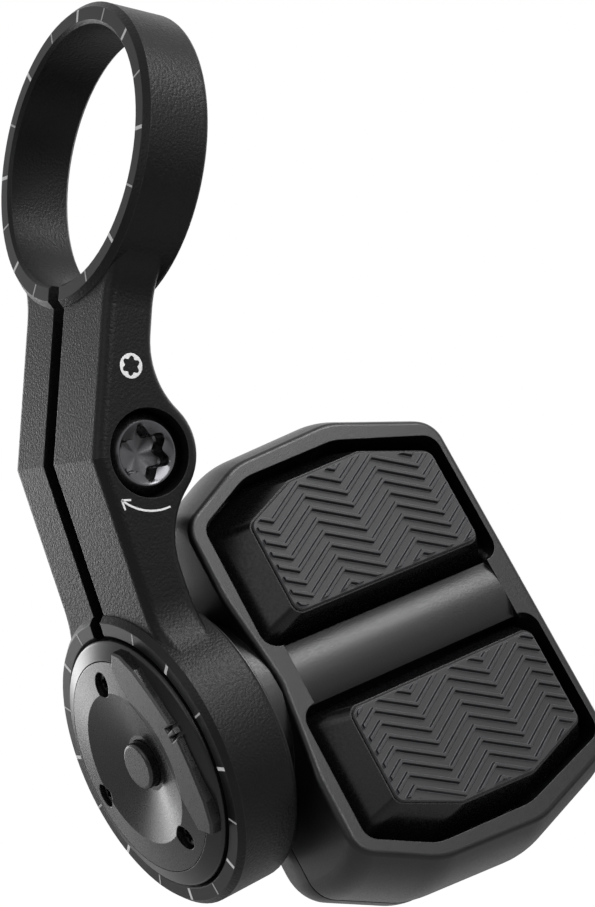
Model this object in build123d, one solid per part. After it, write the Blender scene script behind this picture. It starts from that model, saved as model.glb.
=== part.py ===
from build123d import *
from math import cos, radians, sin, tan
import os

# Electronic shift controller for a handlebar: a one-piece twin-ring clamp, and a pod
# with two rocker paddles whose barrel sits in the second ring.
# Millimetres. The part's origin is the centre of the bar bore, +Y along the bar and +Z up.

# Handlebar and clamp
BAR_DIAMETER = 22.2
RING_WALL = 1.9
RING_WIDTH = 6.0
RING_FACE_CHAMFER = 0.5
BORE_CHAMFER = 0.28
RING_BACK_ROUNDING = 0.5
ARM_LENGTH = 26.4
ARM_BEND = 25.0
ARM_HALF_WIDTH = 7.4
ARM_THICKNESS = 4.6
ARM_FACE_STEP = 0.6
ARM_EDGE_ROUNDING = 0.9
ARM_ROOT_RADIUS = 6.0
ARM_ROOT_REACH = 17.5
SLIT_WIDTH = 1.9
BOSS_RADIUS = 4.8
BOSS_BEHIND_FACE = 5.58
BOSS_BLEND = 7.0

# Clamp bolt
BOLT_SHANK_RADIUS = 2.0
BOLT_HEAD_RADIUS = 3.45
BOLT_HEAD_HEIGHT = 2.5
BOLT_HEAD_BEVEL = 0.8
BOLT_LENGTH = 11.0
BOLT_SINK = 0.5
BOLT_THREAD_GAP = 0.03
BOLT_PASSAGE_GAP = 0.15
COUNTERBORE_RADIUS = 3.7
SOCKET_RADIUS = 2.2
SOCKET_DEPTH = 1.7

# Pod: how it is turned in the clamp, and the running gap of its barrel
POINTER_ANGLE = -112.5
POD_CANT = -1.9
BARREL_GAP = 0.05
BARREL_FRONT = 0.3
COLLAR_RADIUS = 11.9
COLLAR_THICKNESS = 0.55
COLLAR_GAP = 0.05
NECK_RADIUS = 10.0
NECK_END = 6.0
NECK_CLEARANCE = 0.1
BARREL_WALL = 3.0
BULKHEAD_FRONT = 1.4
BULKHEAD_THICKNESS = 1.2
WIRE_HOLE_RADIUS = 2.6
BARREL_REAR_RADIUS = 8.6

# Dial: the barrel's end face, its cap and the pointer facet
DIAL_SEAM_RADIUS = 9.5
DIAL_SEAM_GAP = 0.08
DIAL_SEAM_RISE = 0.6
DIAL_RIM_RADIUS = 6.75
DIAL_RIM_RISE = 1.0
DISH_FOOT_RADIUS = 2.5
DISH_DEPTH = 1.25
DIAL_EDGE_ROUNDING = 0.35
CAP_BACK = 1.1
POINTER_CHORD = 5.1
POINTER_TIP = 9.5
POINTER_SHOULDER = (8.4, 5.2)
POINTER_CORNER = (5.9, 9.6)
POINTER_DROP = 1.9
INDEX_SLOT_WIDTH = 0.55
INDEX_SLOT_LENGTH = 0.9
INDEX_SLOT_DEPTH = 0.7
DIAL_SCREW_CIRCLE = 7.5
DIAL_SCREW_ANGLES = (180, 75, -75)
DIAL_SCREW_HEAD_RADIUS = 1.05
DIAL_SCREW_HEAD_HEIGHT = 0.7
DIAL_SCREW_RADIUS = 0.6
DIAL_SCREW_LENGTH = 3.2
DIAL_SCREW_SEAT = 0.5
DIAL_BOSS_RADIUS = 1.5
SMALL_SCREW_GAP = 0.05

# Function button in the middle of the dial
BUTTON_RADIUS = 2.05
BUTTON_GAP = 0.08
BUTTON_FACE_RISE = 0.95
BUTTON_ROUNDING = 0.3
BUTTON_FLANGE_RADIUS = 2.9
BUTTON_FLANGE_THICKNESS = 0.6
BUTTON_TRAVEL = 0.5
BUTTON_STEM_RADIUS = 1.0
PRESS_GAP = 0.05
BUTTON_SEAL_RADIUS = 4.3
BUTTON_SEAL_THICKNESS = 0.8
BUTTON_BOARD_RADIUS = 5.6
BOARD_THICKNESS = 0.8
SWITCH_SIZE = 3.6
SWITCH_HEIGHT = 1.0
SWITCH_STEM_RADIUS = 0.8
SWITCH_STEM_HEIGHT = 0.25

# Pod shell: the rim's outline across (v) and along the barrel (z)
RIM_HEIGHT = 10.3
RIM_NEAR = 5.0
RIM_FAR = 33.2
RIM_SADDLE = 1.1
RIM_SADDLE_HALF = 8.5
RIM_NEAR_CORNER = 15.2
RIM_NEAR_SHOULDER = (18.8, 12.2)
RIM_FAR_SHOULDER = (19.5, 22.8)
RIM_FAR_CORNER = 16.2
RIM_CORNER_RADIUS = 2.6
RIM_SHOULDER_RADIUS = 6.0
RIM_ROUNDING = 0.55
FLANK_HEIGHTS = (7.4, 4.4)
FLANK_BULGES = (1.3, 1.7)
SEAM_HEIGHT = 1.0
SEAM_BULGE = 1.4
SEAM_GROOVE = 0.18
SEAM_GROOVE_DEPTH = 0.4
BACK_HEIGHTS = (-2.2, -5.4, -8.4)
BACK_BULGES = (0.7, -1.5, -5.6)
BACK_ENDS = (0.3, 1.9, 4.9)
SHELL_WALL = 1.5

# Pockets and bridge
POCKET_NEAR = 6.5
POCKET_FAR = 32.3
POCKET_NEAR_CORNER = 14.6
POCKET_NEAR_SHOULDER = (17.5, 12.4)
POCKET_FAR_SHOULDER = (17.9, 22.4)
POCKET_FAR_CORNER = 15.1
POCKET_CORNER_RADIUS = 1.6
POCKET_SHOULDER_RADIUS = 5.0
BRIDGE_HALF_WIDTH = 2.75
BRIDGE_CROWN = 0.7
DECK_TOP = 4.4
DECK_THICKNESS = 1.4

# Paddles
PADDLE_GAP = 0.35
PADDLE_FOOT = 5.9
PADDLE_WAIST = 8.0
PADDLE_TOP = 11.3
PADDLE_PRESS_ANGLE = 3.0
PAD_INNER = 4.4
PAD_NEAR = 9.9
PAD_FAR = 30.3
PAD_NEAR_CORNER = 13.2
PAD_NEAR_SHOULDER = (15.6, 15.5)
PAD_FAR_SHOULDER = (15.9, 23.4)
PAD_FAR_CORNER = 13.6
PAD_CORNER_RADIUS = 1.0
PAD_THICKNESS = 0.6
PAD_MARGIN = 0.15
HINGE_ACROSS = 4.3
HINGE_HEIGHT = 7.0
HINGE_PIN_RADIUS = 0.6
HINGE_PIN_GAP = 0.04
HINGE_PIN_BITE = 0.5
PLUNGER_ACROSS = 12.2
PLUNGER_ALONG = 20.0
PLUNGER_RADIUS = 1.6
DOME_RADIUS = 2.2
DOME_HEIGHT = 0.45
MEMBRANE_SIZE = 7.0
MEMBRANE_THICKNESS = 0.35
DECK_HOLE_RADIUS = 2.8

# Inside the pod
BOARD_TOP = 1.6
BOARD_EDGE_GAP = 0.4
COVER_SCREW_NEAR = (15.2, 11.0)
COVER_SCREW_FAR = (14.6, 27.6)
COVER_SCREW_HEAD_RADIUS = 1.5
COVER_SCREW_HEAD_HEIGHT = 1.1
COVER_SCREW_RADIUS = 0.8
COVER_SCREW_SEAT = -2.4
COVER_SCREW_TIP = 3.4
POST_RADIUS = 1.9
POST_GAP = 0.25
BOARD_UNDER_GAP = 0.25
GASKET_WIDTH = 0.6
GASKET_THICKNESS = 0.5
GASKET_INSET = 0.6

# Battery and its hatch
BATTERY_RADIUS = 10.0
BATTERY_THICKNESS = 3.2
BATTERY_ALONG = 19.0
BATTERY_TOP = -3.0
BATTERY_GAP = 0.2
BATTERY_EDGE_ROUNDING = 0.4
CONTACT_RADIUS = 1.0
CONTACT_GAP = 0.1
CONTACT_STRIP_WIDTH = 2.6
CONTACT_STRIP_THICKNESS = 0.3
HATCH_RADIUS = 11.2
HATCH_FACE = -8.9
HATCH_THICKNESS = 1.3
HATCH_PLUG_THICKNESS = 0.9
HATCH_GAP = 0.06
HATCH_BOSS_WALL = 0.9
HATCH_EDGE_ROUNDING = 0.3
COIN_SLOT_LENGTH = 13.0
COIN_SLOT_WIDTH = 1.8
COIN_SLOT_DEPTH = 0.8
SEAL_RADIUS = 0.3

# Sizes that follow
BORE_RADIUS = BAR_DIAMETER / 2
RING_RADIUS = BORE_RADIUS + RING_WALL
HALF_RING = RING_WIDTH / 2
BARREL_RADIUS = BORE_RADIUS - BARREL_GAP
ARM_FRONT = ARM_FACE_STEP - HALF_RING
ARM_BACK = ARM_FRONT + ARM_THICKNESS
DIAL_FRONT = -HALF_RING - BARREL_FRONT
SEAM_FRONT = DIAL_FRONT - DIAL_SEAM_RISE
RIM_FRONT = DIAL_FRONT - DIAL_RIM_RISE
DISH_FLOOR = RIM_FRONT + DISH_DEPTH
CAP_SEAT = -HALF_RING + CAP_BACK
BARREL_BORE_RADIUS = BARREL_RADIUS - BARREL_WALL
COLLAR_BACK = HALF_RING + COLLAR_GAP + COLLAR_THICKNESS
DECK_BOTTOM = DECK_TOP - DECK_THICKNESS
DOME_TOP = DECK_TOP + MEMBRANE_THICKNESS + DOME_HEIGHT
BATTERY_BOTTOM = BATTERY_TOP - BATTERY_THICKNESS

# Places: each ring's plane has x down the arm and z along the ring's axis
BEND = radians(ARM_BEND)
ring_1 = Plane(origin=(0, 0, 0), x_dir=(0, 0, -1), z_dir=(0, 1, 0))
bolt_plane = Plane(
    origin=(ARM_LENGTH - BOSS_BEHIND_FACE * sin(BEND / 2), 0, BOSS_BEHIND_FACE * cos(BEND / 2) - HALF_RING),
    x_dir=(cos(BEND / 2), 0, sin(BEND / 2)),
    z_dir=(0, -1, 0),
)
mirror_plane = Plane(
    origin=(ARM_LENGTH, 0, -HALF_RING),
    x_dir=(0, 1, 0),
    z_dir=(cos(BEND / 2), 0, sin(BEND / 2)),
)


def mirrored_point(x, z):
    """A point of ring 1's side view, mirrored across the bend."""
    across = (x - ARM_LENGTH) * cos(BEND / 2) + (z + HALF_RING) * sin(BEND / 2)
    return (x - 2 * across * cos(BEND / 2), z - 2 * across * sin(BEND / 2))


ring_2_x, ring_2_z = mirrored_point(0, 0)
barrel_axis = Vector(0, cos(BEND), sin(BEND))
barrel_down = Vector(0, sin(BEND), -cos(BEND))
barrel_side = barrel_axis.cross(barrel_down)
pointer = barrel_down * cos(radians(POINTER_ANGLE)) + barrel_side * sin(radians(POINTER_ANGLE))
barrel_plane = Plane(origin=(0, ring_2_z, -ring_2_x), x_dir=pointer, z_dir=barrel_axis)
pod_plane = Plane(barrel_plane.location * Rot(POD_CANT, 0, 0))
print("barrel centre", tuple(round(c, 4) for c in barrel_plane.origin))
print("barrel axis", tuple(round(c, 5) for c in barrel_axis))
print("pod up", tuple(round(c, 5) for c in pod_plane.x_dir))
print("pod across", tuple(round(c, 5) for c in pod_plane.y_dir))
print("pod along", tuple(round(c, 5) for c in pod_plane.z_dir))


def level(height):
    """The pod's layer at this height: x across the bridge, y along the barrel."""
    return Plane(origin=(height, 0, 0), x_dir=(0, 1, 0), z_dir=(1, 0, 0))


def slab(sketch, low, high):
    """A sketch of the pod's layers, from one height to another."""
    return extrude(level(low) * sketch, high - low)


def disc(radius, low, high, across=0.0, along=0.0):
    """A round piece of the pod, standing on its layers."""
    return slab(Location((across, along)) * Circle(radius), low, high)


def round_bar(radius, front, back):
    """A round piece on the barrel's axis."""
    return extrude(Plane.XY.offset(front) * Circle(radius), back - front)


def lobed(radius):
    """Six-lobe driver recess."""
    star = Circle(radius * 0.72)
    for turn in range(6):
        star += Rot(0, 0, 60 * turn) * Pos(radius * 0.76, 0) * Circle(radius * 0.24)
    return star


def clamp_ring():
    ring = extrude(Plane.XY.offset(-HALF_RING) * Circle(RING_RADIUS), RING_WIDTH)
    front = ring.edges().sort_by(Axis.Z)[0]
    back = ring.edges().sort_by(Axis.Z)[-1]
    ring = chamfer(front, RING_FACE_CHAMFER)
    return fillet(ring.edges().sort_by(Axis.Z)[-1], RING_BACK_ROUNDING)


def ring_bore():
    bore = extrude(Plane.XY.offset(-HALF_RING) * Circle(BORE_RADIUS), RING_WIDTH)
    wide = BORE_RADIUS + BORE_CHAMFER
    for face, way in ((-HALF_RING, 1), (HALF_RING, -1)):
        mouth = Plane.XY.offset(face) * Circle(wide)
        bore += extrude(mouth, way * BORE_CHAMFER, taper=45)
    return bore


def arm_profile():
    """Side view of both arms, the bend and the bolt's boss."""
    front_bend = ARM_LENGTH - ARM_FACE_STEP * tan(BEND / 2)
    back_bend = ARM_LENGTH - (ARM_FACE_STEP + ARM_THICKNESS) * tan(BEND / 2)
    band = Polygon(
        (RING_RADIUS * 0.9, ARM_FRONT),
        (front_bend, ARM_FRONT),
        mirrored_point(RING_RADIUS * 0.9, ARM_FRONT),
        mirrored_point(RING_RADIUS * 0.9, ARM_BACK),
        (back_bend, ARM_BACK),
        (RING_RADIUS * 0.9, ARM_BACK),
        align=None,
    )
    boss = Pos(bolt_plane.origin.X, bolt_plane.origin.Z) * Circle(BOSS_RADIUS)
    profile = band + boss
    centre = Vector(bolt_plane.origin.X, bolt_plane.origin.Z)
    waists = [v for v in profile.vertices() if abs((v.center() - centre).length - BOSS_RADIUS) < 0.01]
    return fillet(waists, BOSS_BLEND)


def arm_root():
    """Front view of a ring's flare into its arm."""
    reach = ARM_ROOT_REACH
    stub = Pos(reach / 2, 0) * Rectangle(reach, 2 * ARM_HALF_WIDTH)
    root = Circle(RING_RADIUS) + stub
    corners = [v for v in root.vertices() if abs(Vector(v.X, v.Y).length - RING_RADIUS) < 0.01]
    root = fillet(corners, ARM_ROOT_RADIUS)
    solid = extrude(Plane.XY.offset(ARM_FRONT) * root, ARM_THICKNESS)
    edges = solid.edges().filter_by(Plane.XY)
    return fillet(edges, ARM_EDGE_ROUNDING)


def clamp():
    side = Plane(origin=(0, ARM_HALF_WIDTH, 0), x_dir=(1, 0, 0), z_dir=(0, -1, 0))
    arms = extrude(side * arm_profile(), 2 * ARM_HALF_WIDTH)
    outer = arms.faces().filter_by(Axis.Y).edges()
    arms = fillet(outer, ARM_EDGE_ROUNDING)
    half = clamp_ring() + arm_root()
    body = arms + half + mirror(half, mirror_plane)
    bore = ring_bore()
    body -= bore
    body -= mirror(bore, mirror_plane)
    slit = extrude(
        Plane.XZ * Polygon((0, -HALF_RING - 1), (ARM_LENGTH, -HALF_RING - 1), mirrored_point(0, -HALF_RING - 1),
                           mirrored_point(0, ARM_LENGTH), (0, ARM_LENGTH), align=None),
        -SLIT_WIDTH,
    )
    body -= slit
    head_seat = bolt_plane * Pos(0, 0, ARM_HALF_WIDTH - BOLT_SINK - BOLT_HEAD_HEIGHT)
    body -= head_seat * extrude(Circle(COUNTERBORE_RADIUS), BOLT_HEAD_HEIGHT + BOLT_SINK + 1)
    body -= bolt_plane * extrude(Circle(BOLT_SHANK_RADIUS + BOLT_PASSAGE_GAP), ARM_HALF_WIDTH)
    body -= head_seat * extrude(Circle(BOLT_SHANK_RADIUS + BOLT_THREAD_GAP), -BOLT_LENGTH - BOLT_SINK)
    return ring_1 * body


def clamp_bolt():
    head = extrude(Circle(BOLT_HEAD_RADIUS), BOLT_HEAD_HEIGHT)
    head = chamfer(head.edges().group_by(Axis.Z)[-1], BOLT_HEAD_BEVEL)
    bolt = head + extrude(Circle(BOLT_SHANK_RADIUS), -BOLT_LENGTH)
    bolt = chamfer(bolt.edges().group_by(Axis.Z)[0], BOLT_SHANK_RADIUS * 0.2)
    socket = Plane.XY.offset(BOLT_HEAD_HEIGHT) * lobed(SOCKET_RADIUS)
    bolt -= extrude(socket, -SOCKET_DEPTH)
    seat = bolt_plane * Pos(0, 0, ARM_HALF_WIDTH - BOLT_SINK - BOLT_HEAD_HEIGHT)
    return ring_1 * (seat * bolt)


def dial_blank():
    """The barrel's end as turned: rim, sloping annulus and the dish round the button."""
    profile = Polyline(
        (0, CAP_SEAT + 2),
        (BARREL_RADIUS, CAP_SEAT + 2),
        (BARREL_RADIUS, DIAL_FRONT),
        (DIAL_SEAM_RADIUS, SEAM_FRONT),
        (DIAL_RIM_RADIUS, RIM_FRONT),
        (DISH_FOOT_RADIUS, DISH_FLOOR),
        (0, DISH_FLOOR),
        close=True,
    )
    blank = revolve(Plane.XZ * make_face(profile), Axis.Z)
    rim = [e for e in blank.edges().filter_by(GeomType.CIRCLE)
           if abs(e.radius - BARREL_RADIUS) < 0.01 and abs(e.center().Z - DIAL_FRONT) < 0.01]
    return fillet(rim, DIAL_EDGE_ROUNDING)


def cap_outline(gap):
    """The D of the dial cap, with its chord on the pointer side."""
    chord = POINTER_CHORD - gap
    plate = Circle(DIAL_SEAM_RADIUS - gap)
    beyond = Pos(chord + DIAL_SEAM_RADIUS, 0) * Rectangle(2 * DIAL_SEAM_RADIUS, 3 * DIAL_SEAM_RADIUS)
    return plate - beyond


def screw_places():
    return [Rot(0, 0, angle) * Pos(DIAL_SCREW_CIRCLE, 0) for angle in DIAL_SCREW_ANGLES]


def dial_screw_seat():
    """Depth of a dial screw's head seat."""
    slope = (DIAL_SEAM_RISE - DIAL_RIM_RISE) / (DIAL_SEAM_RADIUS - DIAL_RIM_RADIUS)
    surface = RIM_FRONT - slope * (DIAL_SCREW_CIRCLE - DIAL_RIM_RADIUS)
    return surface + DIAL_SCREW_SEAT + DIAL_SCREW_HEAD_HEIGHT


def dial_cap():
    cap = dial_blank() & extrude(Plane.XY.offset(RIM_FRONT) * cap_outline(DIAL_SEAM_GAP), CAP_SEAT - RIM_FRONT)
    cap -= round_bar(BUTTON_RADIUS + BUTTON_GAP, RIM_FRONT, CAP_SEAT)
    flange_room = BUTTON_FLANGE_THICKNESS + BUTTON_GAP
    cap -= round_bar(BUTTON_FLANGE_RADIUS + BUTTON_GAP, CAP_SEAT - flange_room, CAP_SEAT)
    head = extrude(Plane.XY.offset(RIM_FRONT) * Circle(DIAL_SCREW_HEAD_RADIUS + SMALL_SCREW_GAP),
                   dial_screw_seat() - RIM_FRONT)
    shank = round_bar(DIAL_SCREW_RADIUS + SMALL_SCREW_GAP, RIM_FRONT, CAP_SEAT)
    for place in screw_places():
        cap -= place * (head + shank)
    return barrel_plane * cap


def dial_screw(place):
    seat = dial_screw_seat()
    head = round_bar(DIAL_SCREW_HEAD_RADIUS, seat - DIAL_SCREW_HEAD_HEIGHT, seat)
    head = chamfer(head.edges().group_by(Axis.Z)[0], DIAL_SCREW_HEAD_HEIGHT * 0.3)
    screw = head + round_bar(DIAL_SCREW_RADIUS, seat, seat + DIAL_SCREW_LENGTH)
    recess = Plane.XY.offset(seat - DIAL_SCREW_HEAD_HEIGHT) * lobed(DIAL_SCREW_HEAD_RADIUS * 0.6)
    screw -= extrude(recess, DIAL_SCREW_HEAD_HEIGHT * 0.7)
    return barrel_plane * (place * screw)


def barrel():
    """Barrel, thrust collar and neck, bored for the button's board and the wires."""
    body = dial_blank() + round_bar(BARREL_RADIUS, CAP_SEAT, COLLAR_BACK)
    body += round_bar(COLLAR_RADIUS, COLLAR_BACK - COLLAR_THICKNESS, COLLAR_BACK)
    body += round_bar(NECK_RADIUS, COLLAR_BACK, NECK_END)
    body -= extrude(Plane.XY.offset(RIM_FRONT) * cap_outline(0), CAP_SEAT - RIM_FRONT)
    body -= round_bar(BARREL_BORE_RADIUS, CAP_SEAT, BULKHEAD_FRONT)
    body -= round_bar(BARREL_REAR_RADIUS, BULKHEAD_FRONT + BULKHEAD_THICKNESS, RIM_NEAR)
    room = round_bar(BARREL_RADIUS, CAP_SEAT, BULKHEAD_FRONT)
    for place in screw_places():
        body += (place * round_bar(DIAL_BOSS_RADIUS, CAP_SEAT, BULKHEAD_FRONT)) & room
    seat = dial_screw_seat()
    for place in screw_places():
        body -= place * round_bar(DIAL_SCREW_RADIUS + BOLT_THREAD_GAP, CAP_SEAT, seat + DIAL_SCREW_LENGTH + 0.1)
    return body - pointer_cut()


def pointer_cut():
    """What is milled away outside the pointer facet, and the index slot at its tip."""
    far = 2 * BARREL_RADIUS
    outside = Polygon(
        (POINTER_TIP, 0),
        (POINTER_SHOULDER[0], POINTER_SHOULDER[1]),
        (POINTER_CORNER[0], POINTER_CORNER[1]),
        (POINTER_CORNER[0], far),
        (far, far),
        (far, -far),
        (POINTER_CORNER[0], -far),
        (POINTER_CORNER[0], -POINTER_CORNER[1]),
        (POINTER_SHOULDER[0], -POINTER_SHOULDER[1]),
        align=None,
    )
    top = RIM_FRONT - 1
    cut = extrude(Plane.XY.offset(top) * outside, DIAL_FRONT + POINTER_DROP - top)
    slot = Pos(POINTER_TIP - INDEX_SLOT_LENGTH / 2, 0) * Rectangle(INDEX_SLOT_LENGTH, INDEX_SLOT_WIDTH)
    return cut + extrude(Plane.XY.offset(top) * slot, DIAL_FRONT + INDEX_SLOT_DEPTH - top)


def function_button():
    face = DISH_FLOOR - BUTTON_FACE_RISE
    flange_back = CAP_SEAT
    stem = round_bar(BUTTON_RADIUS, face, flange_back)
    stem = fillet(stem.edges().group_by(Axis.Z)[0], BUTTON_ROUNDING)
    flange = round_bar(BUTTON_FLANGE_RADIUS, flange_back - BUTTON_FLANGE_THICKNESS, flange_back)
    switch_tip = BULKHEAD_FRONT - BOARD_THICKNESS - SWITCH_HEIGHT - SWITCH_STEM_HEIGHT
    push = round_bar(BUTTON_STEM_RADIUS, flange_back, switch_tip - BUTTON_TRAVEL - PRESS_GAP)
    return barrel_plane * (stem + flange + push)


def button_seal():
    """Flat ring that closes the gap round the button, behind the cap."""
    inner = BUTTON_FLANGE_RADIUS + BUTTON_GAP
    ring = round_bar(BUTTON_SEAL_RADIUS, CAP_SEAT, CAP_SEAT + BUTTON_SEAL_THICKNESS)
    return barrel_plane * (ring - round_bar(inner, CAP_SEAT, CAP_SEAT + BUTTON_SEAL_THICKNESS))


def button_board():
    board = round_bar(BUTTON_BOARD_RADIUS, BULKHEAD_FRONT - BOARD_THICKNESS, BULKHEAD_FRONT)
    return barrel_plane * board


def switch(base):
    """Tactile switch that stands on a board, its stem towards the finger."""
    body = extrude(base * Rectangle(SWITCH_SIZE, SWITCH_SIZE), SWITCH_HEIGHT)
    return body + extrude(base * Circle(SWITCH_STEM_RADIUS), SWITCH_HEIGHT + SWITCH_STEM_HEIGHT)


def button_switch():
    base = Plane(origin=(0, 0, BULKHEAD_FRONT - BOARD_THICKNESS), x_dir=(1, 0, 0), z_dir=(0, 0, -1))
    return barrel_plane * switch(base)


def rounded(points, radii):
    """A closed outline with its own radius at each corner."""
    return make_face(FilletPolyline(*points, radius=radii, close=True))


def shell_outline(bulge=0.0, ends=0.0):
    """The pod seen from above, grown by the bulge at its sides and shortened by ends."""
    near = RIM_NEAR + ends
    half = [
        (RIM_SADDLE_HALF + min(bulge, 0), near),
        (RIM_NEAR_CORNER + bulge, near),
        (RIM_NEAR_SHOULDER[0] + bulge, RIM_NEAR_SHOULDER[1] + ends),
        (RIM_FAR_SHOULDER[0] + bulge, RIM_FAR_SHOULDER[1] - ends / 2),
        (RIM_FAR_CORNER + bulge, RIM_FAR - ends),
    ]
    radii = [RIM_SHOULDER_RADIUS, RIM_CORNER_RADIUS, RIM_SHOULDER_RADIUS, RIM_SHOULDER_RADIUS, RIM_CORNER_RADIUS]
    other = [(-v, z) for v, z in reversed(half)]
    points = [(0, near + RIM_SADDLE), *half, *other]
    return rounded(points, [RIM_SHOULDER_RADIUS, *radii, *reversed(radii)])


def pocket_outline(side, gap=0.0):
    """One paddle's pocket in the rim, on the side +1 or -1 of the bridge."""
    points = [
        (BRIDGE_HALF_WIDTH, POCKET_NEAR),
        (POCKET_NEAR_CORNER, POCKET_NEAR),
        POCKET_NEAR_SHOULDER,
        POCKET_FAR_SHOULDER,
        (POCKET_FAR_CORNER, POCKET_FAR),
        (BRIDGE_HALF_WIDTH, POCKET_FAR),
    ]
    corner = POCKET_CORNER_RADIUS
    shoulder = POCKET_SHOULDER_RADIUS
    outline = rounded([(side * v, z) for v, z in points], [corner, corner, shoulder, shoulder, corner, corner])
    return offset(outline, -gap) if gap else outline


def pad_outline(side, gap=0.0):
    """The grip pad's outline on one paddle."""
    points = [
        (PAD_INNER, PAD_NEAR),
        (PAD_NEAR_CORNER, PAD_NEAR),
        PAD_NEAR_SHOULDER,
        PAD_FAR_SHOULDER,
        (PAD_FAR_CORNER, PAD_FAR),
        (PAD_INNER, PAD_FAR),
    ]
    outline = rounded([(side * v, z) for v, z in points], [PAD_CORNER_RADIUS] * len(points))
    return offset(outline, -gap) if gap else outline


def bridge_crown():
    """What is taken off the bridge so that its top is convex."""
    radius = (BRIDGE_HALF_WIDTH ** 2 + BRIDGE_CROWN ** 2) / (2 * BRIDGE_CROWN)
    block = Pos(RIM_HEIGHT, 0) * Rectangle(2 * BRIDGE_CROWN, 2 * BRIDGE_HALF_WIDTH)
    waste = block - Pos(RIM_HEIGHT - radius, 0) * Circle(radius)
    start = POCKET_NEAR + POCKET_CORNER_RADIUS
    return extrude(Plane.XY.offset(start) * waste, POCKET_FAR - POCKET_CORNER_RADIUS - start)


def cover_screw_spots():
    return [(side * v, z) for v, z in (COVER_SCREW_NEAR, COVER_SCREW_FAR) for side in (1, -1)]


def pod_housing():
    """Front shell with its rim, pockets, bridge and deck, made in one with the barrel."""
    layers = [level(SEAM_HEIGHT) * shell_outline(SEAM_BULGE)]
    for height, bulge in zip(reversed(FLANK_HEIGHTS), reversed(FLANK_BULGES)):
        layers.append(level(height) * shell_outline(bulge))
    layers.append(level(RIM_HEIGHT) * shell_outline())
    shell = loft(layers)
    rim = shell.faces().sort_by(Axis.X)[-1]
    shell = fillet(rim.edges(), RIM_ROUNDING)
    for side in (1, -1):
        shell -= slab(pocket_outline(side), DECK_TOP, RIM_HEIGHT + 1)
    shell -= bridge_crown()
    cavity = offset(shell_outline(SEAM_BULGE), -SHELL_WALL)
    shell -= slab(cavity, SEAM_HEIGHT, DECK_BOTTOM)
    for v, z in cover_screw_spots():
        shell += disc(POST_RADIUS, SEAM_HEIGHT, DECK_BOTTOM, v, z)
        shell -= disc(COVER_SCREW_RADIUS + BOLT_THREAD_GAP, SEAM_HEIGHT, COVER_SCREW_TIP + 0.1, v, z)
    for side in (1, -1):
        shell -= disc(DECK_HOLE_RADIUS, DECK_BOTTOM, DECK_TOP, side * PLUNGER_ACROSS, PLUNGER_ALONG)
    housing = pod_plane * shell + barrel_plane * barrel()
    for side in (1, -1):
        housing -= pod_plane * hinge_bar(side, HINGE_PIN_RADIUS + BOLT_THREAD_GAP)
    return housing - barrel_plane * round_bar(WIRE_HOLE_RADIUS, BULKHEAD_FRONT, RIM_NEAR + 2 * SHELL_WALL)


def hinge_bar(side, radius):
    """A paddle's hinge pin, or the hole that holds it."""
    start = POCKET_NEAR - HINGE_PIN_BITE
    length = POCKET_FAR - POCKET_NEAR + 2 * HINGE_PIN_BITE
    seat = Plane(origin=(HINGE_HEIGHT, side * HINGE_ACROSS, start), x_dir=(1, 0, 0), z_dir=(0, 0, 1))
    return extrude(seat * Circle(radius), length)


def paddle(side):
    """Smooth moulded rocker that fills its pocket and carries the grip pad."""
    skirt = pocket_outline(side, PADDLE_GAP)
    body = slab(skirt, PADDLE_FOOT, PADDLE_WAIST)
    body += loft([level(PADDLE_WAIST) * skirt, level(PADDLE_TOP) * pad_outline(side)])
    reach = PLUNGER_ACROSS + PLUNGER_RADIUS - HINGE_ACROSS
    plunger_tip = DOME_TOP + PRESS_GAP + reach * sin(radians(PADDLE_PRESS_ANGLE))
    body += disc(PLUNGER_RADIUS, plunger_tip, PADDLE_WAIST, side * PLUNGER_ACROSS, PLUNGER_ALONG)
    body -= hinge_bar(side, HINGE_PIN_RADIUS + HINGE_PIN_GAP)
    return pod_plane * body


def grip_pad(side):
    return pod_plane * slab(pad_outline(side, PAD_MARGIN), PADDLE_TOP, PADDLE_TOP + PAD_THICKNESS)


def membrane(side):
    """Silicone dome that seals the deck's hole over a switch."""
    v = side * PLUNGER_ACROSS
    top = DECK_TOP + MEMBRANE_THICKNESS
    sheet = slab(Location((v, PLUNGER_ALONG)) * RectangleRounded(MEMBRANE_SIZE, MEMBRANE_SIZE, 1), DECK_TOP, top)
    sheet += disc(DOME_RADIUS, top, DOME_TOP, v, PLUNGER_ALONG)
    return pod_plane * sheet


def paddle_switch(side):
    base = Plane(origin=(BOARD_TOP, side * PLUNGER_ACROSS, PLUNGER_ALONG), x_dir=(0, 1, 0), z_dir=(1, 0, 0))
    return pod_plane * switch(base)


def main_board():
    outline = offset(shell_outline(SEAM_BULGE), -SHELL_WALL - BOARD_EDGE_GAP)
    neck = Pos(0, NECK_END / 2) * Rectangle(2 * NECK_RADIUS + 2 * BOARD_EDGE_GAP, NECK_END + 2 * BOARD_EDGE_GAP)
    outline -= neck
    for v, z in cover_screw_spots():
        outline -= Pos(v, z) * Circle(POST_RADIUS + POST_GAP)
    return pod_plane * slab(outline, BOARD_TOP - BOARD_THICKNESS, BOARD_TOP)


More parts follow.
